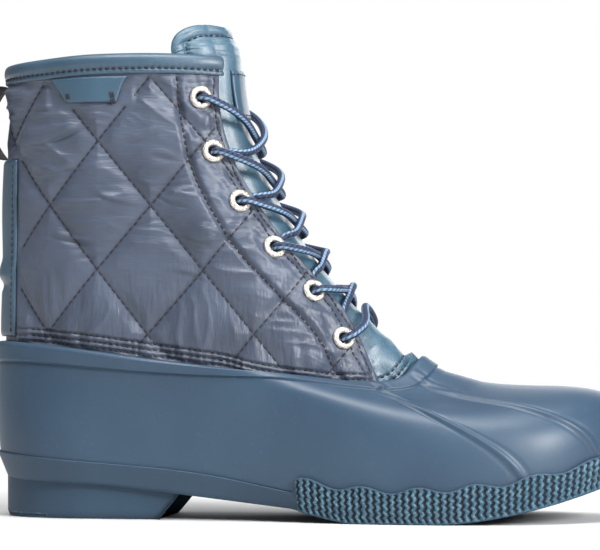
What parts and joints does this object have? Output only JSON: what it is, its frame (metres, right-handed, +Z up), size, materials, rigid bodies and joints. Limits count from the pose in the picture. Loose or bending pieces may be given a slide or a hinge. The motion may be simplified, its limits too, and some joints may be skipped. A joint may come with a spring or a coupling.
{
  "type": "duck boot",
  "caption": "Lace-up duck boot for the right foot: moulded rubber lower, quilted shaft, padded leather tongue, round lace in metal eyelets.",
  "frame": {"origin": "middle of the heel block's flat underside, on the floor", "axes": "+X toward the toe, +Y to the boot's inner side, +Z up; the outer side faces -Y"},
  "size_m": [0.3015, 0.1094, 0.2254],
  "materials": {
    "rubber": "satin moulded slate-blue rubber",
    "nylon": "quilted satin nylon, grey-blue",
    "leather": "glossy blue leather",
    "webbing": "black woven webbing",
    "lining": "matt knitted footbed cover",
    "metal": "pale pitted nickel",
    "cord": "round braided cord, navy and light blue"
  },
  "bodies": {
    "root": {"backstay": "leather", "collar_binding": "leather", "eyelet_lateral_1": "metal", "eyelet_lateral_2": "metal", "eyelet_lateral_3": "metal", "eyelet_lateral_4": "metal", "eyelet_lateral_5": "metal", "eyelet_lateral_6": "metal", "eyelet_medial_1": "metal", "eyelet_medial_2": "metal", "eyelet_medial_3": "metal", "eyelet_medial_4": "metal", "eyelet_medial_5": "metal", "eyelet_medial_6": "metal", "insole": "lining", "lace_bar": "cord", "lace_crossing_1": "cord", "lace_crossing_2": "cord", "lace_crossing_3": "cord", "lace_crossing_4": "cord", "lace_crossing_5": "cord", "outsole": "rubber", "pull_loop": "webbing", "rubber_shell": "rubber", "side_label": "leather", "tongue": "leather", "tongue_label": "leather", "upper": "nylon"}
  },
  "joints": []
}
